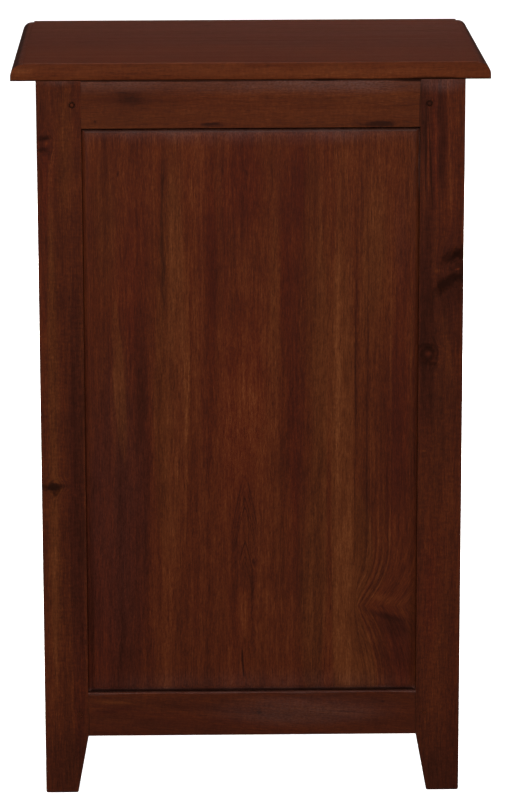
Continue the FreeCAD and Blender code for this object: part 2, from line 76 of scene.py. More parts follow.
# The faces of the table, in metres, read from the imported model. The photograph shows its back.
TOP_LOW, TOP_HIGH = lowest("top_board", Z), highest("top_board", Z)
TOP_HALF = highest("top_board", X)
TOP_FRONT, BACK = lowest("top_board", Y), highest("top_board", Y)
FRONT = lowest("front_left_post", Y)
SIDE = highest("back_right_post", X)
POST = round(SIDE - lowest("back_right_post", X), 5)
RAIL_LOW, SILL = lowest("back_top_rail", Z), highest("back_bottom_rail", Z)

# The worked edge of the top board: a small step down from the flat, and a quarter round below it.
QUIRK_DEPTH, QUIRK_WIDTH = 0.0015, 0.0008
OVOLO, OVOLO_STEPS = 0.0105, 12
TOP_ARRIS = 0.0005

# A raised panel, measured in from the face of its frame, and the rounded margin round its field.
GROOVE_REACH = 0.007
TONGUE_BACK, TONGUE_FACE, FIELD_FACE = 0.0113, 0.0047, 0.0006
MARGIN, MARGIN_STEPS = 0.0085, 10

# A square knob from its base outwards: how far each step stands out and how wide the knob is there.
KNOB_BASE, KNOB_BASE_DEPTH = 0.018, 0.0016
KNOB_STEPS = [(0.0032, 0.0152), (0.0055, 0.0135), (0.00836, 0.0130), (0.0106, 0.0148), (0.0126, 0.0195),
              (0.01452, 0.0270), (0.0176, 0.0270), (0.0220, 0.0090)]
KNOB_ARRIS = 0.0006
KNOB_CREASE = 24

# A wood screw with a cross recess.
HEAD_SIDES, HEAD_RADIUS, HEAD_HEIGHT, HEAD_ARRIS = 24, 0.004, 0.0022, 0.0005
SHANK_RADIUS = 0.002
CROSS_HALF_WIDTH, CROSS_HALF_LENGTH, CROSS_DEPTH = 0.0005, 0.002, 0.0012
THREAD_PITCH, THREAD_SHARE, THREAD_ROOT_SHARE, POINT_SHARE = 0.0018, 0.55, 0.76, 0.2

# The pegs of the joints: the radius of their dark rings, how far out from the middle the pegs stand, how
# high, and where they stand along a side.
PEG_RING = 0.0024
PEG_OUT = 0.159
FRONT_PEG_HEIGHTS, BACK_PEG_HEIGHTS = (0.6495, 0.0780), (0.6425, 0.0755)
FRONT_PEG_ACROSS, BACK_PEG_ACROSS = -0.0955, 0.118

# The photographer's stand, found from the edges of the photographed back.
CAMERA_PLACE = (0.0623, 3.50637, 1.15838)
CAMERA_RIGHT, CAMERA_UP = (-0.99989, 0.01411, -0.00341), (-0.00657, -0.23102, 0.97293)
CAMERA_BACK = (0.01294, 0.97285, 0.23109)
FILM_WIDTH, FOCAL_LENGTH = 36.0, 171.48
SHIFT_ACROSS, SHIFT_UP = 0.0256, 0.0156

FLOOR_RADIUS = 60
FLOOR_DROP = 0.0003

# Faces that meet at less than this angle look like one round surface.
SMOOTH_BELOW = 35


def camera():
    """A long lens, a little above the table, looking down at its plain back."""
    data = bpy.data.cameras.new("camera")
    data.sensor_width = FILM_WIDTH
    data.lens = FOCAL_LENGTH
    data.shift_x = SHIFT_ACROSS
    data.shift_y = SHIFT_UP
    data.clip_start, data.clip_end = 0.1, 200.0
    holder = bpy.data.objects.new("camera", data)
    bpy.context.scene.collection.objects.link(holder)
    turn = Matrix((CAMERA_RIGHT, CAMERA_UP, CAMERA_BACK)).transposed().to_4x4()
    holder.matrix_world = Matrix.Translation(CAMERA_PLACE) @ turn
    bpy.context.scene.camera = holder


def softbox(name, place, aim, width, height, power, in_gloss=True, in_diffuse=True):
    """A diffuser of a given width and height, aimed at a point."""
    data = bpy.data.lights.new(name, "AREA")
    data.shape = "RECTANGLE"
    data.size, data.size_y = width, height
    data.energy = power
    lamp = bpy.data.objects.new(name, data)
    bpy.context.scene.collection.objects.link(lamp)
    lamp.location = place
    lamp.rotation_euler = (Vector(aim) - Vector(place)).to_track_quat("-Z", "Y").to_euler()
    lamp.visible_glossy = in_gloss
    lamp.visible_diffuse = in_diffuse


def floor():
    """White paper under and round the table, a hair below its toes, that only the camera sees."""
    bpy.ops.object.select_all(action="DESELECT")
    bpy.ops.mesh.primitive_circle_add(vertices=96, radius=FLOOR_RADIUS, fill_type="NGON",
                                      location=(0, 0, -FLOOR_DROP))
    paper = bpy.context.object
    paper.name = "floor"
    finish = bpy.data.materials.new("paper")
    finish.use_nodes = True
    shader = finish.node_tree.nodes["Principled BSDF"]
    shader.inputs["Base Color"].default_value = (0.9, 0.9, 0.9, 1)
    shader.inputs["Roughness"].default_value = 0.9
    shader.inputs["Specular IOR Level"].default_value = 0.1
    shader.inputs["Emission Color"].default_value = (1, 1, 1, 1)
    shader.inputs["Emission Strength"].default_value = 0.9
    paper.data.materials.append(finish)
    paper.visible_glossy = False
    paper.visible_diffuse = False


def studio():
    """A white room with one broad light overhead and softboxes round the table."""
    world = bpy.data.worlds.new("white_room")
    bpy.context.scene.world = world
    world.use_nodes = True
    world.node_tree.nodes["Background"].inputs["Color"].default_value = (1, 1, 1, 1)
    world.node_tree.nodes["Background"].inputs["Strength"].default_value = 1.0
    world.cycles_visibility.diffuse = False
    world.cycles_visibility.glossy = False

    data = bpy.data.lights.new("overhead", "SUN")
    data.energy = 1.5
    data.angle = math.radians(110)
    lamp = bpy.data.objects.new("overhead", data)
    bpy.context.scene.collection.objects.link(lamp)
    lamp.rotation_euler = Vector((0.1, -0.35, -1)).to_track_quat("-Z", "Y").to_euler()
    lamp.visible_glossy = False

    softbox("key", (0.25, 2.9, 2.2), (0, 0.1, 0.45), 2.4, 2.0, 107, in_gloss=False)
    softbox("high_window", (0.2, 2.2, 3.0), (0, 0.1, 0.5), 2.4, 1.6, 45, in_diffuse=False)
    softbox("front_fill", (-0.5, -2.8, 1.3), (0, 0, 0.35), 2.0, 1.6, 110, in_gloss=False)
    for side in (-1, 1):
        softbox("side_fill", (side * 2.8, -0.3, 1.1), (0, 0, 0.35), 1.8, 1.6, 62, in_gloss=False)
    softbox("ceiling", (0, 0.2, 3.2), (0, 0, 0), 4.0, 4.0, 18, in_diffuse=False)
    softbox("far_wall", (0, -3.4, 1.2), (0, 0, 0.6), 4.5, 2.0, 1.2, in_diffuse=False)
    bpy.context.scene.view_settings.view_transform = "Standard"


# Shader graphs, put together from short calls.

class Graph:
    """The nodes of one material, each call adding its nodes and giving back their output."""

    def __init__(self, name):
        self.finish = bpy.data.materials.new(name)
        self.finish.use_nodes = True
        self.tree = self.finish.node_tree
        self.shader = self.tree.nodes["Principled BSDF"]
        self.here = self.add("ShaderNodeTexCoord", {}, "Object")

    def add(self, kind, inputs, output=0, **settings):
        """A node with its settings and inputs, and the output that is asked for."""
        node = self.tree.nodes.new(kind)
        for key, value in settings.items():
            setattr(node, key, value)
        for key, value in inputs.items():
            self.feed(node.inputs[key], value)
        return node.outputs[output]

    def feed(self, socket, value):
        """Links a socket to another node's output, or gives it a fixed value."""
        if isinstance(value, bpy.types.NodeSocket):
            self.tree.links.new(value, socket)
        else:
            socket.default_value = value

    def math(self, operation, *values):
        return self.add("ShaderNodeMath", dict(enumerate(values)), operation=operation)

    def vector(self, operation, *values, output=0):
        return self.add("ShaderNodeVectorMath", dict(enumerate(values)), output, operation=operation)

    def scale(self, vector, share):
        """A vector made longer or shorter by a value."""
        result = self.vector("SCALE", vector)
        self.feed(result.node.inputs["Scale"], share)
        return result

    def length(self, vector):
        return self.vector("LENGTH", vector, output="Value")

    def facing(self, vector, way):
        """How nearly a unit vector points along a way, from 1 along it to -1 against it."""
        return self.vector("DOT_PRODUCT", vector, way, output="Value")

    def parts(self, vector):
        """The x, y and z of a vector."""
        return self.add("ShaderNodeSeparateXYZ", {"Vector": vector}).node.outputs

    def noise(self, place, stretch, detail=2.0, rough=0.5, output=0):
        """A noise that changes about as many times in a metre, along x, y and z, as its stretch says."""
        stretched = self.vector("MULTIPLY", place, stretch)
        return self.add("ShaderNodeTexNoise", {"Vector": stretched, "Scale": 1.0, "Detail": detail,
                                               "Roughness": rough}, output)

    def wander(self, place, stretch, detail=2.0, rough=0.5):
        """A push along each axis, of up to about half a unit either way, that follows a noise."""
        return self.vector("SUBTRACT", self.noise(place, stretch, detail, rough, "Color"), (0.5, 0.5, 0.5))

    def span(self, value, low, high, out_low=0.0, out_high=1.0, smooth=True):
        """A value between low and high, mapped to between out_low and out_high and held there."""
        kind = "SMOOTHSTEP" if smooth else "LINEAR"
        return self.add("ShaderNodeMapRange", {0: value, 1: low, 2: high, 3: out_low, 4: out_high},
                        interpolation_type=kind)

    def mix(self, share, first, second):
        """The second colour laid over the first by a share. The colours are sockets 6 and 7."""
        node = self.tree.nodes.new("ShaderNodeMix")
        node.data_type = "RGBA"
        self.feed(node.inputs["Factor"], share)
        self.feed(node.inputs[6], first)
        self.feed(node.inputs[7], second)
        return node.outputs[2]

    def ramp(self, value, stops):
        """The colour at a value from 0 to 1 between stops of (value, colour)."""
        node = self.tree.nodes.new("ShaderNodeValToRGB")
        while len(node.color_ramp.elements) < len(stops):
            node.color_ramp.elements.new(0.5)
        for element, (place, colour) in zip(node.color_ramp.elements, stops):
            element.position = place
            element.color = (*colour, 1)
        self.feed(node.inputs[0], value)
        return node.outputs[0]

    def total(self, values):
        result = values[0]
        for value in values[1:]:
            result = self.math("ADD", result, value)
        return result


# The stain runs from plum-dark at a tone of 0 to honey at 1, in a red and in a brown version. The woods of
# the inside have no stain.
RED = [(0.0, (0.026, 0.0062, 0.0036)), (0.35, (0.047, 0.0098, 0.0054)), (0.6, (0.072, 0.0130, 0.0055)),
       (0.85, (0.104, 0.0225, 0.0072)), (1.0, (0.14, 0.036, 0.012))]
BROWN = [(0.0, (0.026, 0.0082, 0.0046)), (0.35, (0.049, 0.0125, 0.0056)), (0.6, (0.075, 0.0188, 0.0064)),
         (0.85, (0.111, 0.0292, 0.0092)), (1.0, (0.148, 0.044, 0.014))]
PALE = [(0.0, (0.16, 0.075, 0.030)), (0.35, (0.26, 0.130, 0.054)), (0.6, (0.34, 0.180, 0.078)),
        (0.85, (0.42, 0.235, 0.108)), (1.0, (0.50, 0.30, 0.145))]
INNER = [(0.0, (0.10, 0.045, 0.019)), (0.35, (0.17, 0.078, 0.033)), (0.6, (0.23, 0.110, 0.048)),
         (0.85, (0.29, 0.145, 0.066)), (1.0, (0.36, 0.19, 0.09))]
# A pale grey, laid on as painted sheen and painted light, and as dust and polish bloom.
DUST_AND_SHEEN = (0.20, 0.15, 0.145, 1)

# How many rings of an arch there are in a metre.
ARCH_RINGS = 75.0

# How far apart in the tree the pieces of the table lie, and the boards of one piece.
PIECE_STEP, BOARD_STEP = (0.37, 0.61, 1.13), (3.7, 1.9, 5.3)

# The figure of the wood: how often a noise changes in a metre across and along the fibres, its detail and
# its roughness. The first group wanders with the fibres, the second doesn't.
FLOWING = {"broad": (30.0, 0.8, 2.0, 0.5), "streak": (150.0, 3.0, 3.0, 0.62),
           "fine": (620.0, 34.0, 3.0, 0.7), "fibre": (1500.0, 130.0, 2.0, 0.6), "hue": (48.0, 4.0, 3.0, 0.6),
           "layer": (62.0, 1.6, 2.0, 0.55), "pore": (2600.0, 95.0, 1.0, 0.5)}
STILL = {"cloud": (75.0, 16.0, 3.0, 0.6), "cross": (14.0, 42.0, 2.0, 0.5),
         "speck": (1100.0, 420.0, 1.0, 0.5)}

# What each part of the figure adds to the tone: the noise's low and high values, the most that it takes or
# gives, and whether it changes in smooth steps.
SWINGS = {"broad": (0.25, 0.75, 0.08, False), "streak": (0.25, 0.75, 0.12, False),
          "layer": (0.45, 0.55, 0.035, True), "fine": (0.25, 0.75, 0.20, False),
          "fibre": (0.25, 0.75, 0.18, False), "cloud": (0.25, 0.75, 0.10, False),
          "speck": (0.20, 0.80, 0.14, False), "cross": (0.30, 0.70, 0.035, False)}

TURNS = {"x": (0, -math.pi / 2, 0), "y": (math.pi / 2, 0, 0), "z": (0, 0, 0)}
AXES = {"x": (1, 0, 0), "y": (0, 1, 0), "z": (0, 0, 1)}

# How a pair of places or half sizes on a face lies in space, where that face is and how deep its marks go,
# and the axis that a mark leans about.
FACES = {"back": lambda a, b, depth: (a, depth, b), "front": lambda a, b, depth: (a, depth, b),
         "side": lambda a, b, depth: (depth, a, b)}
LEVELS = {"back": (BACK, 0.03), "front": (FRONT, 0.03), "side": (0.0, 1.0)}
LEANS = {"back": (0, 1, 0), "front": (0, 1, 0), "side": (1, 0, 0)}


class Wood(Graph):
    """Polished wood whose fibres run along an axis, with its marks on one face.

    Its tone and its warmth, from brown at 0 to red at 1, are the sums of what the figure and the marks add.
    """

    def __init__(self, name, grain, face, tone, warmth):
        super().__init__(name)
        self.grain, self.face = grain, face
        self.tones, self.warmths = [tone], [warmth]
        self.normal = self.add("ShaderNodeNewGeometry", {}, "Normal")
        self.across = tuple(1.0 - value for value in AXES[grain])
        soft = self.wander(self.here, (30.0, 30.0, 30.0), 1.0)
        soft = self.vector("MULTIPLY", soft, (0.003, 0.003, 0.003))
        frays = tuple(500.0 * value + 28.0 * (1 - value) for value in self.across)
        self.fray = self.wander(self.here, frays, 3.0, 0.6)
        self.loose = self.vector("ADD", self.vector("ADD", self.here, soft), self.frayed(0.007))
        torn = self.noise(self.here, (260.0, 260.0, 260.0), 3.0, 0.6)
        self.ragged = self.span(torn, 0.3, 0.7, 0.62, 1.4, False)
        self.placed = self.here

    def frayed(self, most):
        """A push across the fibres that frays the edge of a mark into their ends."""
        return self.vector("MULTIPLY", self.fray, tuple(most * value for value in self.across))

    def way(self, place, at, half, lean=0.0, face=None):
        """The way from the middle of a mark to a place, in units of the mark's half sizes."""
        face = face or self.face
        level, deep = LEVELS[face]
        turn = tuple(math.radians(lean) * share for share in LEANS[face])
        return self.add("ShaderNodeMapping", {"Vector": place, "Location": FACES[face](*at, level),
                                              "Rotation": turn, "Scale": FACES[face](*half, deep)},
                        vector_type="TEXTURE")

    def far(self, place, at, half, lean=0.0, face=None):
        """How far a place is from the middle of a mark, 1 being at the mark's border."""
        return self.length(self.way(place, at, half, lean, face))

    def round_knots(self, knots):
        """Leads the fibres round each knot, darkens its rim and lightens its heart."""
        for a, b, half_a, half_b, depth in knots:
            way = self.way(self.loose, (a, b), (half_a, half_b))
            far = self.length(way)
            edge = self.math("MULTIPLY", far, self.ragged)
            half = FACES[self.face](half_a, half_b, 0.0)
            size = tuple(value * share for value, share in zip(half, self.across))
            push = self.scale(self.vector("MULTIPLY", way, size), self.span(far, 0.3, 4.0, 0.95, 0.0))
            self.placed = self.vector("SUBTRACT", self.placed, push)
            self.tones.append(self.span(edge, 0.8, 1.7, -depth, 0.0))
            self.tones.append(self.span(edge, 0.15, 0.7, depth * 0.6, 0.0))

    def bend(self, bends):
        """Draws upright fibres aside where they pass a branch that lies beyond the piece's edge."""
        for start, full, middle, above, below, most in bends:
            place = self.parts(self.loose)
            over = self.span(place[Z], middle, middle + above, 1.0, 0.0, False)
            under = self.span(place[Z], middle - below, middle, 0.0, 1.0, False)
            share = self.math("POWER", self.math("MULTIPLY", over, under), 2.2)
            share = self.math("MULTIPLY", share, self.span(place[X], full, start, 1.0, 0.0))
            self.placed = self.vector("SUBTRACT", self.placed, self.scale((most, 0, 0), share))

    def saw(self, slope, shift, boards):
        """Turns the fibres along z, and takes each board of a glued-up piece from a place of its own."""
        turned = self.add("ShaderNodeMapping", {"Vector": self.placed, "Rotation": TURNS[self.grain]})
        if slope:
            tilt = (0, math.radians(slope), 0)
            turned = self.add("ShaderNodeMapping", {"Vector": turned, "Rotation": tilt})
        self.board = self.vector("ADD", turned, shift)
        place = self.parts(self.here)
        for axis, joint, tone, warmth in boards:
            beyond = self.math("LESS_THAN", place[axis], joint)
            self.board = self.vector("ADD", self.board, self.scale(BOARD_STEP, beyond))
            self.tones.append(self.math("MULTIPLY", beyond, tone))
            self.warmths.append(self.math("MULTIPLY", beyond, warmth))

    def grow(self):
        """The noises of the figure."""
        drift = self.vector("MULTIPLY", self.wander(self.board, (5.0, 5.0, 0.9)), (0.022, 0.022, 0.0))
        quick = self.wander(self.board, (34.0, 34.0, 6.0), 1.0)
        shiver = self.vector("MULTIPLY", quick, (0.0016, 0.0016, 0.0))
        self.drifted = self.vector("ADD", self.board, drift)
        self.figure = {}
        for place, noises in ((self.vector("ADD", self.drifted, shiver), FLOWING), (self.board, STILL)):
            for part, (across, along, detail, rough) in noises.items():
                self.figure[part] = self.noise(place, (across, across, along), detail, rough)
        self.drawn = self.vector("ADD", self.placed, self.frayed(0.003))

    def tint(self, place, inside, patches):
        """Adds the tone and warmth of each patch, in full as far out as inside of its half sizes."""
        for a, b, half_a, half_b, lean, tone, warmth in patches:
            mask = self.span(self.far(place, (a, b), (half_a, half_b), lean), inside, 1.0, 1.0, 0.0)
            self.tones.append(self.math("MULTIPLY", mask, tone))
            self.warmths.append(self.math("MULTIPLY", mask, warmth))

    def arch(self, arches):
        """Draws the dark nested arches of a flat-sawn board, which open along the fibres."""
        for a, b, half_a, half_b, spread, tone in arches:
            mask = self.span(self.far(self.loose, (a, b), (half_a, half_b)), 0.6, 1.0, 1.0, 0.0)
            spreads = (1.0, spread) if self.grain == "x" else (spread, 1.0)
            off = self.parts(self.way(self.here, (a, b), spreads))
            level = Y if self.face == "side" else X
            sideways, along = (off[Z], off[X]) if self.grain == "x" else (off[level], off[Z])
            rise = self.math("ADD", self.math("POWER", self.math("ABSOLUTE", sideways), 1.25), along)
            ring = self.noise(self.add("ShaderNodeCombineXYZ", {"X": rise}), (ARCH_RINGS, 1.0, 1.0), 1.0)
            line = self.math("MULTIPLY", self.span(ring, 0.50, 0.56), self.span(ring, 0.56, 0.66, 1.0, 0.0))
            self.tones.append(self.math("MULTIPLY", self.math("MULTIPLY", line, mask), tone))

    def stain(self, reds, browns, contrast, ripple, facing_up_painted_light):
        """The colour of the figure and the marks. Ripple is how strongly the figure curls across the fibres,
        and facing_up_painted_light is the painted light added to the tone where the wood faces up, a painted
        shade when below zero."""
        # Painted light: this tone follows how the face points up, not the wood.
        if facing_up_painted_light:
            self.tones.append(self.math("MULTIPLY", self.facing(self.normal, (0, 0, 1)), facing_up_painted_light))
        swings = [self.span(self.figure[part], low, high, -most, most, smooth)
                  for part, (low, high, most, smooth) in SWINGS.items()]
        if ripple:
            curl = self.noise(self.drifted, (180.0, 180.0, 430.0), 2.0)
            swings.append(self.span(curl, 0.3, 0.7, -ripple, ripple, False))
        tone = self.total([self.math("MULTIPLY", self.total(swings), contrast)] + self.tones)
        warmth = self.total([self.span(self.figure["hue"], 0.3, 0.7, -0.16, 0.16, False)] + self.warmths)
        warmth = self.math("MAXIMUM", self.math("MINIMUM", warmth, 1.0), 0.0)
        self.colour = self.mix(warmth, self.ramp(tone, browns), self.ramp(tone, reds))
        self.dark = tuple(part * 0.3 for part in browns[0][1]) + (1,)
        # The lighter colour of the edges, part wear and part painted highlight.
        self.worn_and_highlit = tuple(part * 1.5 for part in browns[3][1]) + (1,)

    def dust_and_sheen(self, sheen_and_dust):
        """Lays a thin, blotchy pale grey over the colour: painted sheen and painted highlight where the wood
        catches the light, painted light lifted into the shade of grooves, and pale polish and dust.
        """
        for a, b, half_a, half_b, most in sheen_and_dust:
            mask = self.span(self.far(self.loose, (a, b), (half_a, half_b)), 0.2, 1.0, most, 0.0)
            blotches = self.span(self.figure["cloud"], 0.25, 0.75, 0.55, 1.45, False)
            mask = self.math("MULTIPLY", mask, blotches)
            grains = self.span(self.figure["speck"], 0.35, 0.65, 0.5, 1.5, False)
            mask = self.math("MULTIPLY", mask, grains)
            self.colour = self.mix(mask, self.colour, DUST_AND_SHEEN)

    def open_pores(self):
        """Darkens the pores."""
        self.pores = self.span(self.figure["pore"], 0.60, 0.72)
        self.colour = self.mix(self.math("MULTIPLY", self.pores, 0.45), self.colour, self.dark)

    def end_grain(self, share):
        """Darkens the wood where it is cut across the fibres."""
        end = self.math("ABSOLUTE", self.facing(self.normal, AXES[self.grain]))
        mask = self.math("MULTIPLY", self.span(end, 0.06, 0.5), share)
        self.colour = self.mix(mask, self.colour, self.dark)

    def wear_and_edge_highlight(self):
        """Rubs the colour thin along the sharp edges and paints a highlight there: a lighter colour where a
        rounded normal parts from the true one, part wear and part painted highlight.
        """
        rounded = self.add("ShaderNodeBevel", {"Radius": 0.0007}, samples=4)
        edge_wear_and_highlight = self.span(self.facing(rounded, self.normal), 0.86, 0.99, 0.22, 0.0)
        self.colour = self.mix(edge_wear_and_highlight, self.colour, self.worn_and_highlit)

    def blot(self, stains):
        """Lays dark, ragged stains that follow the fibres."""
        for a, b, half_a, half_b, lean, share in stains:
            far = self.math("MULTIPLY", self.far(self.drawn, (a, b), (half_a, half_b), lean), self.ragged)
            self.colour = self.mix(self.span(far, 0.35, 1.1, share, 0.0), self.colour, self.dark)

    def seam(self, seams):
        """Lays straight dark lines, as at a joint."""
        for a, b, half_a, half_b, share in seams:
            uneven = self.span(self.figure["cloud"], 0.3, 0.7, 0.75, 1.35, False)
            far = self.math("MULTIPLY", self.far(self.here, (a, b), (half_a, half_b)), uneven)
            self.colour = self.mix(self.span(far, 0.8, 1.3, share, 0.0), self.colour, self.dark)

    def ring(self, rings):
        """Lays round dark rings, as round a peg."""
        for face, a, b, radius, share in rings:
            uneven = self.span(self.figure["cloud"], 0.3, 0.7, 0.9, 1.1, False)
            far = self.math("MULTIPLY", self.far(self.here, (a, b), (radius, radius), face=face), uneven)
            mask = self.math("MULTIPLY", self.span(far, 0.45, 0.85), self.span(far, 1.05, 1.35, share, 0.0))
            self.colour = self.mix(mask, self.colour, self.dark)

    def polish(self, gloss, rough):
        """The shine of the polish, dull in the pores, and the touch of the fibres."""
        streak = self.span(self.figure["streak"], 0.3, 0.7, -0.05, 0.05, False)
        fibre = self.span(self.figure["fibre"], 0.3, 0.7, -0.05, 0.05, False)
        shine = self.total([streak, fibre, self.math("MULTIPLY", self.pores, 0.15), rough])
        height = self.math("SUBTRACT", self.math("MULTIPLY", self.figure["fibre"], 0.5), self.pores)
        bump = self.add("ShaderNodeBump", {"Strength": 0.25, "Distance": 0.00012, "Height": height})
        self.feed(self.shader.inputs["Base Color"], self.colour)
        self.feed(self.shader.inputs["Roughness"], shine)
        self.feed(self.shader.inputs["Normal"], bump)
        self.shader.inputs["Specular IOR Level"].default_value = gloss


def wood(name, grain, shift, face="back", tone=0.5, warmth=0.5, slope=0.0, patches=(), zones=(), knots=(),
         bends=(), boards=(), arches=(), sheen_and_dust=(), stains=(), seams=(), rings=(), facing_up_painted_light=0.0, ripple=0.0,
         end_dark=0.55, reds=RED, browns=BROWN, contrast=1.0, gloss=0.14, rough=0.38):
    """The wood of one piece, with its marks laid in the order in which they cover each other."""
    piece = Wood(name, grain, face, tone, warmth)
    piece.round_knots(knots)
    piece.bend(bends)
    piece.saw(slope, shift, boards)
    piece.grow()
    piece.tint(piece.loose, 0.1, patches)
    piece.tint(piece.drawn, 0.8, zones)
    piece.arch(arches)
    piece.stain(reds, browns, contrast, ripple, facing_up_painted_light)
    piece.dust_and_sheen(sheen_and_dust)
    piece.open_pores()
    piece.end_grain(end_dark)
    piece.wear_and_edge_highlight()
    piece.blot(stains)
    piece.seam(seams)
    piece.ring(rings)
    piece.polish(gloss, rough)
    return piece.finish


def zinc(name):
    """Zinc-plated steel, dulled and faintly scratched."""
    g = Graph(name)
    cloud = g.noise(g.here, (900.0, 900.0, 900.0), 4.0, 0.6)
    scratch = g.noise(g.here, (3500.0, 900.0, 6000.0), 3.0, 0.6)
    colour = g.mix(g.span(cloud, 0.3, 0.7), (0.42, 0.42, 0.40, 1), (0.62, 0.61, 0.57, 1))
    dull = g.total([g.span(scratch, 0.3, 0.7, 0.0, 0.18, False), g.span(cloud, 0.3, 0.7, 0.22, 0.36)])
    bump = g.add("ShaderNodeBump", {"Strength": 0.2, "Distance": 0.00005, "Height": scratch})
    g.feed(g.shader.inputs["Base Color"], colour)
    g.feed(g.shader.inputs["Roughness"], dull)
    g.feed(g.shader.inputs["Normal"], bump)
    g.shader.inputs["Metallic"].default_value = 1.0
    return g.finish


# Modelling in edit mode.

def block(name, low, high):
    """A block between two corners, open in edit mode with nothing selected."""
    low, high = Vector(low), Vector(high)
    bpy.ops.object.select_all(action="DESELECT")
    bpy.ops.mesh.primitive_cube_add(size=1, location=(low + high) / 2)
    piece = bpy.context.object
    piece.name = name
    piece.scale = high - low
    bpy.ops.object.transform_apply(location=True, rotation=True, scale=True)
    bpy.ops.object.mode_set(mode="EDIT")
    bpy.ops.mesh.select_all(action="DESELECT")
    return piece


def choose(piece, kind, test):
    """Selects the faces or edges that pass a test, and nothing else."""
    bpy.context.tool_settings.mesh_select_mode = (False, kind == "edges", kind == "faces")
    bpy.ops.mesh.select_all(action="DESELECT")
    shape = bmesh.from_edit_mesh(piece.data)
    for part in getattr(shape, kind):
        if test(part):
            part.select_set(True)
    bmesh.update_edit_mesh(piece.data)


def lies_at(part, axis, value):
    """Whether all the corners of a face or an edge lie at a value along an axis."""
    return all(abs(corner.co[axis] - value) < 1e-5 for corner in part.verts)


def soften(piece, radius, test, clamp=False):
    """Rounds the edges that pass a test over three small faces."""
    choose(piece, "edges", test)
    bpy.ops.mesh.bevel(offset=radius, segments=3, profile=0.5, affect="EDGES", clamp_overlap=clamp)


def extrude(x, y, z):
    """Draws the chosen faces out by a distance along each axis."""
    bpy.ops.mesh.extrude_region_move(TRANSFORM_OT_translate={"value": (x, y, z)})


def done(piece, material, body, node):
    """Leaves edit mode and puts the finished piece in the place of its plain solid."""
    if bpy.context.object.mode == "EDIT":
        bpy.ops.object.mode_set(mode="OBJECT")
    bpy.ops.object.shade_smooth_by_angle(angle=math.radians(SMOOTH_BELOW))
    piece.data.materials.clear()
    piece.data.materials.append(material)
    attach(piece, body)
    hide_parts(node)


def top_board():
    """A board with a quirk and ovolo on both ends and the far edge, square where it meets the wall."""
    ledge = TOP_HIGH - QUIRK_DEPTH
    piece = block("moulded_top", (-TOP_HALF, TOP_FRONT, TOP_LOW), (TOP_HALF, BACK, ledge))
    choose(piece, "edges", lambda edge: lies_at(edge, Z, ledge) and not lies_at(edge, Y, BACK))
    bpy.ops.mesh.bevel(offset=OVOLO, segments=OVOLO_STEPS, profile=0.5, affect="EDGES")
    flat_half, flat_front = TOP_HALF - OVOLO - QUIRK_WIDTH, TOP_FRONT + OVOLO + QUIRK_WIDTH
    for place, way in (((flat_half, 0, 0), (1, 0, 0)), ((-flat_half, 0, 0), (-1, 0, 0)),
                       ((0, flat_front, 0), (0, -1, 0))):
        choose(piece, "faces", lambda face: lies_at(face, Z, ledge))
        bpy.ops.mesh.bisect(plane_co=place, plane_no=way)

    def in_flat(face):
        middle = face.calc_center_median()
        return lies_at(face, Z, ledge) and abs(middle.x) < flat_half and middle.y > flat_front

    choose(piece, "faces", in_flat)
    extrude(0, 0, QUIRK_DEPTH)
    soften(piece, TOP_ARRIS, lambda edge: lies_at(edge, Z, TOP_HIGH))
    soften(piece, TOP_ARRIS, lambda edge: lies_at(edge, Z, TOP_LOW))
    return piece


def raised_panel(name, low, high, face, axis, sign):
    """A panel that spans low to high between its posts, with its margin rounded down to a thin tongue. Its
    frame's face is at a value along an axis, and sign is the way that it faces."""
    across = 1 - axis
    first, last = [0, 0, SILL - GROOVE_REACH], [0, 0, RAIL_LOW + GROOVE_REACH]
    first[across], last[across] = low - GROOVE_REACH, high + GROOVE_REACH
    first[axis], last[axis] = sorted((face - sign * TONGUE_BACK, face - sign * TONGUE_FACE))
    piece = block(name, first, last)
    choose(piece, "faces", lambda side: lies_at(side, axis, face - sign * TONGUE_FACE))
    bpy.ops.mesh.inset(thickness=GROOVE_REACH, depth=0)
    # The margin rises along an arc that is level where it meets the field.
    fall = TONGUE_FACE - FIELD_FACE
    radius = (MARGIN ** 2 + fall ** 2) / (2 * fall)
    sweep = math.atan2(MARGIN, radius - fall)
    turns = [sweep * (1 - step / MARGIN_STEPS) for step in range(MARGIN_STEPS + 1)]
    for before, after in zip(turns, turns[1:]):
        bpy.ops.mesh.inset(thickness=radius * (math.sin(before) - math.sin(after)),
                           depth=radius * (math.cos(after) - math.cos(before)))
    return piece


def knob(node):
    """A square knob with a coved neck, drawn out of its base and softened on every edge."""
    low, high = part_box(node)
    middle = Vector(((low.x + high.x) / 2, FRONT, (low.z + high.z) / 2))
    half = KNOB_BASE / 2
    piece = block(node.replace("_knob", "_square_knob"), middle + Vector((-half, -KNOB_BASE_DEPTH, -half)),
                  middle + Vector((half, 0, half)))
    out, width = KNOB_BASE_DEPTH, KNOB_BASE
    choose(piece, "faces", lambda face: lies_at(face, Y, FRONT - out))
    for next_out, next_width in KNOB_STEPS:
        extrude(0, out - next_out, 0)
        size = next_width / width
        bpy.ops.transform.resize(value=(size, 1, size), center_override=middle)
        out, width = next_out, next_width
    crease = math.radians(KNOB_CREASE)
    soften(piece, KNOB_ARRIS, lambda edge: edge.calc_face_angle(0) > crease and not lies_at(edge, Y, FRONT),
           clamp=True)
    return piece


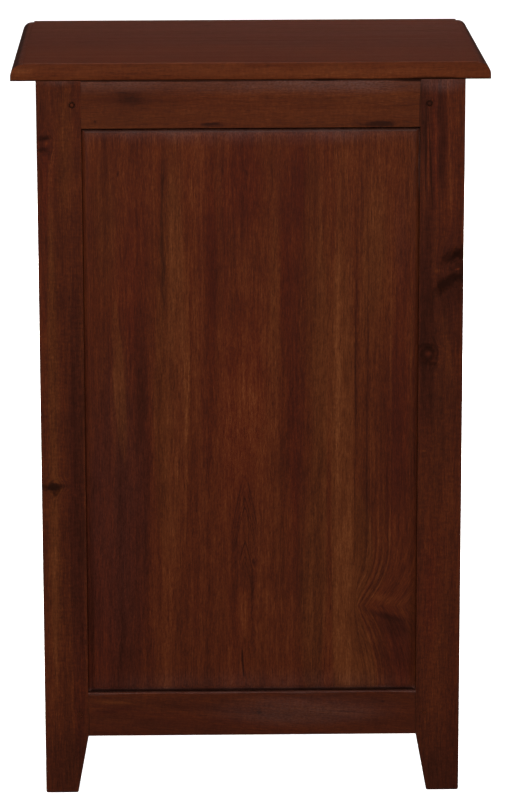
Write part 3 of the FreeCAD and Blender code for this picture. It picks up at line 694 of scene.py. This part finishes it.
def screw(name, place, way, length):
    """A screw whose head stands on a place, and whose point goes a length from there along a way."""
    place, way = Vector(place), Vector(way)
    face, underside = -HEAD_HEIGHT / 2, HEAD_HEIGHT / 2
    bpy.ops.object.select_all(action="DESELECT")
    bpy.ops.mesh.primitive_cylinder_add(vertices=HEAD_SIDES, radius=HEAD_RADIUS, depth=HEAD_HEIGHT,
                                        end_fill_type="NGON")
    piece = bpy.context.object
    piece.name = name
    bpy.ops.object.mode_set(mode="EDIT")
    choose(piece, "edges", lambda edge: lies_at(edge, Z, face))
    bpy.ops.mesh.bevel(offset=HEAD_ARRIS, segments=2, affect="EDGES")
    for half in (CROSS_HALF_WIDTH, CROSS_HALF_LENGTH):
        for axis in (X, Y):
            for side in (-1, 1):
                choose(piece, "faces", lambda part: lies_at(part, Z, face))
                middle, normal = [0, 0, 0], [0, 0, 0]
                middle[axis], normal[axis] = side * half, 1
                bpy.ops.mesh.bisect(plane_co=middle, plane_no=normal)

    def in_cross(part):
        middle = part.calc_center_median()
        narrow, wide = sorted((abs(middle.x), abs(middle.y)))
        return lies_at(part, Z, face) and narrow < CROSS_HALF_WIDTH and wide < CROSS_HALF_LENGTH

    choose(piece, "faces", in_cross)
    extrude(0, 0, CROSS_DEPTH)
    choose(piece, "faces", lambda part: lies_at(part, Z, underside))
    bpy.ops.mesh.inset(thickness=HEAD_RADIUS - SHANK_RADIUS, depth=0)
    thread = length * THREAD_SHARE
    extrude(0, 0, length - thread)
    turns = int(thread / THREAD_PITCH)
    for turn in range(turns):
        last = turn == turns - 1
        for size in (THREAD_ROOT_SHARE, POINT_SHARE if last else 1 / THREAD_ROOT_SHARE):
            extrude(0, 0, thread / turns / 2)
            bpy.ops.transform.resize(value=(size, size, 1))
    bpy.ops.object.mode_set(mode="OBJECT")
    turn = way.to_track_quat("Z", "Y").to_matrix().to_4x4()
    piece.matrix_world = Matrix.Translation(place - way * HEAD_HEIGHT / 2) @ turn
    bpy.ops.object.transform_apply(location=True, rotation=True, scale=True)
    return piece


def knob_screw(node):
    """The screw that holds a knob from inside the drawer."""
    low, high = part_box(node)
    head = Vector(((low.x + high.x) / 2, high.y - HEAD_HEIGHT, (low.z + high.z) / 2))
    return screw(node.replace("_knob_screw", "_crosshead_screw"), head, (0, -1, 0), head.y - low.y)


def rising_screws(node):
    """The pair of screws that go up into the top board, as one piece."""
    low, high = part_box(node)
    out, along, level = high.x - HEAD_RADIUS, (low.y + high.y) / 2, low.z + HEAD_HEIGHT
    pair = [screw("crosshead_" + node, (side * out, along, level), (0, 0, 1), high.z - level)
            for side in (-1, 1)]
    bpy.ops.object.select_all(action="DESELECT")
    for piece in pair:
        piece.select_set(True)
    bpy.context.view_layer.objects.active = pair[0]
    bpy.ops.object.join()
    return pair[0]


# The new pieces, by the node whose place each one takes.
MODELS = {
    "top_board": lambda node: top_board(),
    "back_panel": lambda node: raised_panel("raised_back_panel", POST - SIDE, SIDE - POST, BACK, Y, 1),
    "left_panel": lambda node: raised_panel("raised_left_panel", FRONT + POST, BACK - POST, -SIDE, X, -1),
    "right_panel": lambda node: raised_panel("raised_right_panel", FRONT + POST, BACK - POST, SIDE, X, 1),
    "top_screws": rising_screws, "button_screws": rising_screws,
    "upper_knob": knob, "middle_knob": knob, "lower_knob": knob,
    "upper_knob_screw": knob_screw, "middle_knob_screw": knob_screw, "lower_knob_screw": knob_screw,
}


def peg_rings(side, front):
    """The dark rings round the four pegs of one post."""
    face = "front" if front else "back"
    top_height, foot_height = FRONT_PEG_HEIGHTS if front else BACK_PEG_HEIGHTS
    across = FRONT_PEG_ACROSS if front else BACK_PEG_ACROSS
    side_top_height, side_foot_height = BACK_PEG_HEIGHTS
    return [(face, side * PEG_OUT, top_height, PEG_RING, 0.85),
            (face, side * PEG_OUT, foot_height, PEG_RING, 0.35),
            ("side", across, side_top_height, PEG_RING, 0.7),
            ("side", across, side_foot_height, PEG_RING, 0.5)]


# The marks of the photographed back. Each begins with its middle and its half sizes on the
# face, in metres. After these, soft patches and crisp zones have their lean in degrees and what they add to
# tone and warmth, knots their depth, arches their spread and tone, stains their lean and share, seams and
# the marks of sheen and dust their share. A ring is (face, middle, middle, radius, share). A glued joint is
# (axis, place, tone, warmth). A bend is (where it starts, where it is full, its height, its reach above and
# below, the most that it pushes). Some patches, and most of the sheen, are painted shade and painted light,
# as said where they stand.
PANEL_PATCHES = [
    (0.0797, 0.52, 0.0026, 0.115, 0, -0.32, -0.7),
    (0.1000, 0.33, 0.019, 0.13, 2, -0.07, 0.15),
    (0.1190, 0.17, 0.040, 0.20, 0, -0.05, 0.16),
    (0.1190, 0.385, 0.0100, 0.10, -3, 0.17, -0.45),
    (0.1290, 0.53, 0.022, 0.10, 0, 0.03, -0.30),
    (0.1120, 0.48, 0.026, 0.13, 0, 0.03, 0.35),
    (0.0690, 0.52, 0.014, 0.14, 0, 0.05, -0.35),
    (0.0790, 0.36, 0.014, 0.15, -1, 0.04, -0.30),
    (0.0590, 0.41, 0.0060, 0.16, 0, 0.17, -0.25),
    (0.0670, 0.26, 0.0060, 0.11, -2, 0.06, -0.18),
    (0.0345, 0.51, 0.0100, 0.11, 0, -0.12, 0.30),
    (0.0235, 0.50, 0.0060, 0.12, 0, -0.10, 0.25),
    (0.0060, 0.57, 0.026, 0.07, 0, -0.10, 0.45),
    (0.0060, 0.37, 0.038, 0.14, 0, 0.12, 0.45),
    (-0.0215, 0.46, 0.0080, 0.15, 0, 0.10, -0.35),
    (-0.0290, 0.50, 0.0075, 0.13, 0, -0.09, 0.35),
    (-0.0440, 0.57, 0.0110, 0.07, 0, -0.11, 0.30),
    (-0.0450, 0.32, 0.0120, 0.15, 0, -0.08, 0.40),
    (-0.0640, 0.42, 0.014, 0.20, 0, 0.11, -0.55),
    (-0.0600, 0.20, 0.016, 0.13, 0, 0.03, -0.5),
    (-0.0800, 0.38, 0.0120, 0.19, 0, 0.15, -0.60),
    (-0.0780, 0.43, 0.0050, 0.11, 0, 0.10, -0.30),
    (-0.0850, 0.20, 0.0160, 0.16, 0, 0.11, -0.50),
    (-0.0942, 0.37, 0.0016, 0.21, 0, -0.30, 0.0),
    (-0.0990, 0.54, 0.0016, 0.09, 0, -0.24, 0.0),
    (-0.0880, 0.50, 0.0014, 0.10, 0, -0.18, 0.0),
    (-0.1165, 0.52, 0.0120, 0.080, 0, 0.08, -0.3),
    (-0.1060, 0.50, 0.016, 0.12, 0, 0.04, -0.5),
    (-0.1280, 0.33, 0.026, 0.13, 0, -0.17, 0.3),
    (-0.1447, 0.42, 0.0016, 0.20, 0, 0.12, -0.4),
    (-0.1200, 0.184, 0.022, 0.0080, -18, 0.16, -0.1),
    (-0.1230, 0.1680, 0.030, 0.0050, -15, -0.34, 0.0),
    (-0.1290, 0.1580, 0.028, 0.0160, -14, -0.28, 0.1),
    (-0.1310, 0.1330, 0.026, 0.0350, -10, -0.12, 0.1),
    (-0.1340, 0.120, 0.024, 0.050, 0, -0.12, 0.3),
    (0.0080, 0.172, 0.012, 0.040, 0, 0.16, 0.2),
    (0.0045, 0.375, 0.018, 0.050, 0, 0.09, 0.35),
    (0.1190, 0.580, 0.0015, 0.0040, -20, -0.45, 0.0),
    (0.0050, 0.580, 0.0013, 0.0050, 15, -0.45, 0.0),
    # Painted shade: darker along the bottom margin and both side margins, where they sink into the grooves.
    (0.0000, 0.0960, 0.2000, 0.0240, 0, -0.10, 0.0),
    (0.1480, 0.3500, 0.0120, 0.3300, 0, -0.10, 0.0),
    (-0.1460, 0.3000, 0.0100, 0.2600, 0, -0.07, 0.0),
]
PANEL_ZONES = [
    (0.1245, 0.200, 0.0320, 0.300, -3.5, -0.17, 0.16),
    (0.1500, 0.230, 0.0160, 0.220, 0, -0.06, 0.10),
    (0.1195, 0.390, 0.0056, 0.085, 3, 0.17, -0.45),
    (0.0740, 0.400, 0.0150, 0.200, -1, 0.03, -0.22),
    (0.0585, 0.370, 0.0018, 0.160, -1, 0.14, -0.10),
    (0.0400, 0.480, 0.0090, 0.200, 0, -0.05, 0.20),
    (-0.0400, 0.470, 0.0100, 0.230, 0, -0.05, 0.20),
    (-0.0550, 0.330, 0.0150, 0.300, 0, 0.02, -0.35),
    (-0.0830, 0.330, 0.0125, 0.300, 0, 0.06, -0.26),
    (-0.0950, 0.150, 0.0225, 0.150, 0, 0.07, -0.50),
    (-0.1050, 0.290, 0.0012, 0.280, 0, -0.18, 0.0),
    (-0.1095, 0.200, 0.0010, 0.160, 0, -0.13, 0.0),
    (-0.1130, 0.210, 0.0010, 0.150, 0, -0.12, 0.0),
    (-0.1155, 0.210, 0.0010, 0.130, 0, 0.11, 0.0),
    (-0.1178, 0.210, 0.0012, 0.160, 0, -0.13, 0.0),
    (-0.1202, 0.220, 0.0009, 0.150, 0, 0.09, -0.2),
    (-0.1235, 0.200, 0.0012, 0.150, 0, -0.11, 0.0),
    (-0.1260, 0.330, 0.0008, 0.200, 0, 0.16, -0.2),
    (-0.1410, 0.300, 0.0180, 0.240, 0, -0.07, 0.2),
    (0.0086, 0.1250, 0.0008, 0.0170, 3, -0.60, 0.0),
    (0.0000, 0.1850, 0.0006, 0.0340, 0, -0.30, 0.0),
    (0.0045, 0.2330, 0.0120, 0.0700, 0, -0.04, 0.0),
]
# On the panel: a painted highlight along the top margin, which tips up to the light; painted light lifted
# into the shade of the top and bottom grooves and of the lower margin; a painted highlight line along the
# groove at -x; and faint pale dust.
PANEL_SHEEN_AND_DUST = [
    (0.0000, 0.6200, 0.260, 0.0180, 0.045), (0.1050, 0.6190, 0.016, 0.0140, 0.020),
    (0.0650, 0.6190, 0.020, 0.0140, 0.035), (0.0100, 0.6190, 0.030, 0.0120, 0.020),
    (-0.0800, 0.6190, 0.028, 0.0150, 0.045), (-0.1350, 0.5200, 0.010, 0.0700, 0.010),
    (0.0000, 0.0960, 0.240, 0.0280, 0.030), (0.0000, 0.0970, 9.0, 0.0050, 0.090),
    (0.0000, 0.6205, 9.0, 0.0022, 0.100), (-0.1508, 0.5900, 0.0016, 0.0450, 0.200),
    (0.1250, 0.2700, 0.040, 0.2000, 0.012),
]
RIGHT_POST_PATCHES = [
    (0.1827, 0.58, 0.010, 0.07, 0, 0.04, 0.4),
    (0.1650, 0.60, 0.010, 0.10, 0, 0.14, -0.4),
    (0.1790, 0.40, 0.0085, 0.23, 0, 0.13, -0.5),
    (0.1806, 0.2925, 0.0078, 0.0054, 0, -0.42, 0.0),
    (0.1794, 0.2865, 0.0022, 0.0045, 0, -0.30, 0.0),
    (0.1836, 0.6122, 0.0046, 0.0032, 20, -0.36, 0.1),
    (0.1822, 0.6075, 0.0016, 0.0028, 0, 0.24, 0.3),
    (0.1846, 0.6025, 0.0044, 0.0022, -25, -0.32, 0.1),
    (0.1800, 0.20, 0.0090, 0.12, 0, 0.10, -0.4),
    (0.1610, 0.28, 0.0120, 0.21, 0, -0.19, 0.1),
    (0.1700, 0.293, 0.0170, 0.0025, 0, -0.22, 0.0),
    # Painted shade: the foot darker, as the light falls off towards the floor.
    (0.1700, 0.000, 0.0500, 0.0900, 0, -0.20, 0.0),
]
RIGHT_POST_ZONES = [
    (0.1590, 0.250, 0.0072, 0.260, 0, -0.13, 0.20),
    (0.1800, 0.330, 0.0040, 0.300, 0, 0.05, -0.20),
    (0.1860, 0.540, 0.0050, 0.120, 0, -0.10, 0.20),
]
LEFT_POST_PATCHES = [
    (-0.1560, 0.44, 0.0090, 0.15, 0, -0.24, 0.1),
    (-0.1700, 0.42, 0.0250, 0.18, 0, -0.16, -0.1),
    (-0.1680, 0.62, 0.0160, 0.07, 0, -0.14, 0.2),
    (-0.1760, 0.42, 0.0070, 0.07, 8, 0.10, -0.2),
    (-0.1679, 0.4913, 0.0040, 0.0035, 0, 0.28, -0.3),
    (-0.1822, 0.5045, 0.0095, 0.0034, 45, -0.46, 0.0),
    (-0.1760, 0.4795, 0.0125, 0.0040, 28, -0.46, 0.0),
    (-0.1885, 0.4900, 0.0045, 0.0130, 0, -0.34, 0.0),
    # Painted glint: a small bright orange spot in the knot.
    (-0.1852, 0.4925, 0.0042, 0.0015, 18, 0.62, 0.3),
    (-0.1592, 0.4142, 0.0046, 0.0040, 0, 0.36, 0.2),
    (-0.1750, 0.47, 0.0250, 0.030, -20, -0.16, 0.1),
    (-0.1571, 0.3238, 0.0035, 0.0014, 0, 0.40, -0.2),
    (-0.1640, 0.20, 0.0140, 0.11, 0, 0.05, 0.4),
    # Painted shade: the foot darker, as the light falls off towards the floor.
    (-0.1700, 0.000, 0.0500, 0.0900, 0, -0.22, 0.0),
    (-0.1545, 0.630, 0.0070, 0.060, 0, -0.28, 0.0),
    (-0.1640, 0.600, 0.0040, 0.090, 0, 0.12, 0.3),
]
LEFT_POST_ZONES = [
    (-0.1585, 0.420, 0.0065, 0.160, 0, -0.06, 0.10),
    (-0.1560, 0.605, 0.0009, 0.045, 0, -0.34, 0.0),
    (-0.1604, 0.590, 0.0008, 0.050, 3, -0.34, 0.0),
    (-0.1583, 0.590, 0.0008, 0.040, 1, 0.26, 0.2),
    (-0.1700, 0.610, 0.0034, 0.060, 2, -0.16, 0.0),
    (-0.1650, 0.600, 0.0009, 0.060, 2, 0.20, 0.2),
    (-0.1770, 0.600, 0.0010, 0.080, 2, 0.16, 0.0),
    (-0.1880, 0.380, 0.0090, 0.200, 2, -0.08, 0.10),
]
JOINT_LINE = [(0.0, TOP_LOW, 9.0, 0.0010, 0.75), (-0.065, TOP_LOW, 0.012, 0.0016, 0.6),
              (-0.165, TOP_LOW, 0.030, 0.0020, 0.7)]
TOP_RAIL_PATCHES = [
    (0.1072, 0.6480, 0.018, 0.0085, -8, -0.30, 0.0),
    (0.1152, 0.6531, 0.0055, 0.0013, -8, -0.42, 0.0),
    (0.0354, 0.6252, 0.0090, 0.0022, 3, -0.50, 0.0),
    (0.0354, 0.6255, 0.0150, 0.0028, 3, -0.20, 0.0),
    (-0.1160, 0.6242, 0.0105, 0.0024, 0, -0.50, 0.0),
    (-0.1130, 0.6250, 0.0190, 0.0032, 2, -0.20, 0.0),
    (0.1050, 0.6440, 0.062, 0.0260, 0, -0.16, -0.1),
    (0.1385, 0.6276, 0.0022, 0.0018, 0, -0.55, 0.0),
    (-0.1510, 0.6425, 0.0009, 0.05, 0, -0.5, 0.0),
    (0.1510, 0.6425, 0.0009, 0.05, 0, -0.3, 0.0),
]
BOTTOM_RAIL_PATCHES = [
    (0.1290, 0.0880, 0.026, 0.0040, -3, 0.20, -0.4),
    (0.1300, 0.0790, 0.030, 0.0034, 8, -0.10, 0.3),
    (-0.0063, 0.0767, 0.0040, 0.0040, 0, -0.45, 0.0),
    (-0.1207, 0.0864, 0.0030, 0.0025, 0, -0.45, 0.0),
    (-0.0500, 0.0750, 0.080, 0.014, 0, 0.04, -0.3),
    (-0.1510, 0.0755, 0.0008, 0.05, 0, -0.4, 0.0),
    (0.1510, 0.0755, 0.0008, 0.05, 0, -0.4, 0.0),
]
PANEL_KNOTS = [(-0.0020, 0.2213, 0.0016, 0.0022, 0.30), (0.0170, 0.4190, 0.0016, 0.0020, 0.14)]
PANEL_ARCHES = [(0.0062, 0.2550, 0.0150, 0.0520, 0.125, -0.42)]
PANEL_BENDS = [(-0.086, -0.101, 0.1778, 0.060, 0.080, 0.022)]
PANEL_JOINTS = [(X, -0.0728, 0.02, -0.15)]
RIGHT_POST_KNOTS = [(0.1826, 0.6075, 0.0040, 0.0080, 0.25), (0.1806, 0.2929, 0.0048, 0.0030, 0.35)]
RIGHT_POST_STAINS = [
    (0.1808, 0.2925, 0.0070, 0.0046, 0, 0.42),
    (0.1794, 0.2870, 0.0022, 0.0046, 0, 0.45),
    (0.1850, 0.2930, 0.0050, 0.0022, 0, 0.40),
    (0.1838, 0.6130, 0.0044, 0.0026, 25, 0.45),
    (0.1850, 0.6020, 0.0042, 0.0018, -25, 0.45),
    (0.1870, 0.5780, 0.0014, 0.0200, 0, 0.35),
]
LEFT_POST_KNOTS = [(-0.1880, 0.4920, 0.0070, 0.0100, 0.2), (-0.1590, 0.4145, 0.0048, 0.0052, 0.26)]
LEFT_POST_KNOT_RING = ("back", -0.1592, 0.4142, 0.0058, 0.42)
LEFT_POST_STAINS = [
    (-0.1590, 0.6426, 0.0036, 0.0032, 0, 0.55),
    (-0.1835, 0.5040, 0.0120, 0.0074, 42, 0.56),
    (-0.1890, 0.5080, 0.0050, 0.0070, 0, 0.50),
    (-0.1772, 0.4775, 0.0145, 0.0082, 24, 0.56),
    (-0.1865, 0.4850, 0.0070, 0.0034, 10, 0.55),
    (-0.1690, 0.4720, 0.0060, 0.0060, 40, 0.35),
    (-0.1580, 0.4215, 0.0072, 0.0030, 12, 0.45),
    (-0.1605, 0.4055, 0.0072, 0.0026, -12, 0.40),
    (-0.1630, 0.4150, 0.0014, 0.0060, -10, 0.35),
]
TOP_RAIL_KNOTS = [(0.0337, 0.6247, 0.0080, 0.0020, 0.34), (-0.1150, 0.6243, 0.0110, 0.0020, 0.34)]
# Painted sheen along the upper part of the top rail, a reflection of the light from above.
TOP_RAIL_SHEEN = [(0.0, 0.6660, 0.45, 0.017, 0.085), (-0.075, 0.6600, 0.10, 0.012, 0.045),
                  (0.130, 0.6600, 0.05, 0.010, 0.025)]
# On the bottom rail: a pale patch, and a painted highlight line along its top edge.
BOTTOM_RAIL_SHEEN_AND_DUST = [(-0.045, 0.078, 0.110, 0.020, 0.055), (0.0, SILL, 9.0, 0.0010, 0.08)]
TOP_EDGE_PATCHES = [
    (-0.090, 0.6700, 0.20, 0.0096, 0, 0.10, 0.0),
    (0.203, 0.6720, 0.016, 0.0078, 0, 0.16, 0.0),
    (-0.150, 0.6700, 0.090, 0.0096, 0, 0.06, 0.1),
]
TOP_JOINTS = [(Y, 0.055, -0.02, 0.10), (Y, -0.048, 0.03, -0.15)]
DARK_PEG = [(-0.159, 0.6426, 0.006, 0.006, 0, -0.45, 0.0)]

# What sets the wood of a node apart.
FINISHES = {
    # The top board's upward faces get a painted shade, so they stay darker than its edge.
    "top_board": dict(tone=0.64, warmth=0.45, facing_up_painted_light=-0.19, contrast=0.6, ripple=0.12, end_dark=0.75,
                      patches=TOP_EDGE_PATCHES, seams=JOINT_LINE, boards=TOP_JOINTS),
    "back_panel": dict(tone=0.57, warmth=0.62, patches=PANEL_PATCHES, zones=PANEL_ZONES, sheen_and_dust=PANEL_SHEEN_AND_DUST,
                       knots=PANEL_KNOTS, arches=PANEL_ARCHES, bends=PANEL_BENDS, boards=PANEL_JOINTS),
    # Both back posts get a painted sheen at their tops, level with the sheen on the top rail.
    "back_right_post": dict(tone=0.50, warmth=0.5, ripple=0.09, patches=RIGHT_POST_PATCHES,
                            zones=RIGHT_POST_ZONES, knots=RIGHT_POST_KNOTS, stains=RIGHT_POST_STAINS,
                            rings=peg_rings(1, False), sheen_and_dust=[(0.172, 0.6680, 0.035, 0.010, 0.09)]),
    "back_left_post": dict(tone=0.44, warmth=0.55, ripple=0.08, patches=LEFT_POST_PATCHES,
                           zones=LEFT_POST_ZONES, knots=LEFT_POST_KNOTS, stains=LEFT_POST_STAINS,
                           rings=peg_rings(-1, False) + [LEFT_POST_KNOT_RING],
                           sheen_and_dust=[(-0.170, 0.6640, 0.035, 0.016, 0.10)]),
    "front_right_post": dict(rings=peg_rings(1, True), ripple=0.05),
    "front_left_post": dict(rings=peg_rings(-1, True), ripple=0.05),
    "back_top_rail": dict(tone=0.58, warmth=0.24, contrast=0.6, ripple=0.12, patches=TOP_RAIL_PATCHES,
                          seams=JOINT_LINE, sheen_and_dust=TOP_RAIL_SHEEN, knots=TOP_RAIL_KNOTS),
    "back_bottom_rail": dict(tone=0.41, warmth=0.50, slope=5.0, contrast=0.7, ripple=0.10,
                             patches=BOTTOM_RAIL_PATCHES, sheen_and_dust=BOTTOM_RAIL_SHEEN_AND_DUST),
    "joint_pegs": dict(tone=0.50, end_dark=0.10, patches=DARK_PEG,
                       rings=peg_rings(1, False) + peg_rings(1, True) + peg_rings(-1, False)[:2]
                       + peg_rings(-1, True)[:2]),
}

# The side panels, each of three boards. The arches stand higher on the left one than on the right one.
for side, lean in (("left", 1), ("right", -1)):
    FINISHES[side + "_panel"] = dict(
        face="side", tone=0.52, warmth=0.55, boards=[(Y, 0.031, 0.04, -0.30), (Y, -0.046, -0.07, 0.30)],
        zones=[(0.075, 0.40, 0.010, 0.25, lean, 0.07, -0.3), (0.000, 0.35, 0.013, 0.30, 0, -0.08, 0.3),
               (-0.030, 0.30, 0.006, 0.28, lean, 0.10, -0.4), (-0.075, 0.33, 0.010, 0.26, 0, -0.07, 0.1)],
        arches=[(-0.006, 0.40 + 0.06 * lean, 0.030, 0.17, 0.13, -0.70)],
        knots=[(0.058 * lean, 0.30, 0.0028, 0.0045, 0.35)])

# The drawer fronts, with arches that open along the board from a place near its middle.
for level, middle, place in (("upper", 0.566, 0.030), ("middle", 0.387, -0.040), ("lower", 0.190, 0.015)):
    FINISHES[level + "_drawer_front"] = dict(
        face="front", tone=0.55, warmth=0.5, contrast=1.1,
        zones=[(place * 2, middle + 0.045, 0.14, 0.009, 0, -0.12, 0.2),
               (-place, middle - 0.042, 0.13, 0.012, 1, 0.10, -0.4)],
        arches=[(place, middle, 0.135, 0.042, 0.085, -0.80)])
    FINISHES[level + "_knob"] = dict(tone=0.56, end_dark=0.2)

DRAWER_BOX_WORDS = ("_side", "drawer_back", "drawer_bottom")
INNER_WORDS = ("runner", "guide", "kicker", "stops", "buttons")
UPRIGHT_WORDS = ("post", "panel")
DEEP_WORDS = ("runner", "guide", "kicker", "_side", "button", "knob", "peg")


def has_any(name, words):
    """Whether a name holds any of some words."""
    return any(word in name for word in words)


def grain_of(name):
    """The axis that the fibres of a piece run along."""
    if has_any(name, UPRIGHT_WORDS):
        return "z"
    if has_any(name, DEEP_WORDS) or name.startswith(("left_", "right_")):
        return "y"
    return "x"


def finish_of(name, index):
    """The finish of one node, cut from its own place in the tree."""
    if "screw" in name:
        return zinc(name + "_zinc")
    given = dict(grain=grain_of(name), shift=tuple(index * step for step in PIECE_STEP),
                 tone=0.45 + 0.12 * (index * 0.618 % 1), warmth=0.38 + 0.3 * (index * 0.414 % 1))
    if has_any(name, DRAWER_BOX_WORDS):
        given.update(reds=PALE, browns=PALE, contrast=0.8, end_dark=0.35, rough=0.55)
    elif has_any(name, INNER_WORDS):
        given.update(reds=INNER, browns=INNER, contrast=0.9, end_dark=0.35, rough=0.6)
    given.update(FINISHES.get(name, {}))
    return wood(name + "_wood", **given)


camera()
floor()
studio()
for index, (name, node) in enumerate(sorted(frame["nodes"].items())):
    finish = finish_of(name, index)
    if name in MODELS:
        body = node["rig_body"]
        done(MODELS[name](name), finish, body, name)
    else:
        node.data.materials.clear()
        node.data.materials.append(finish)
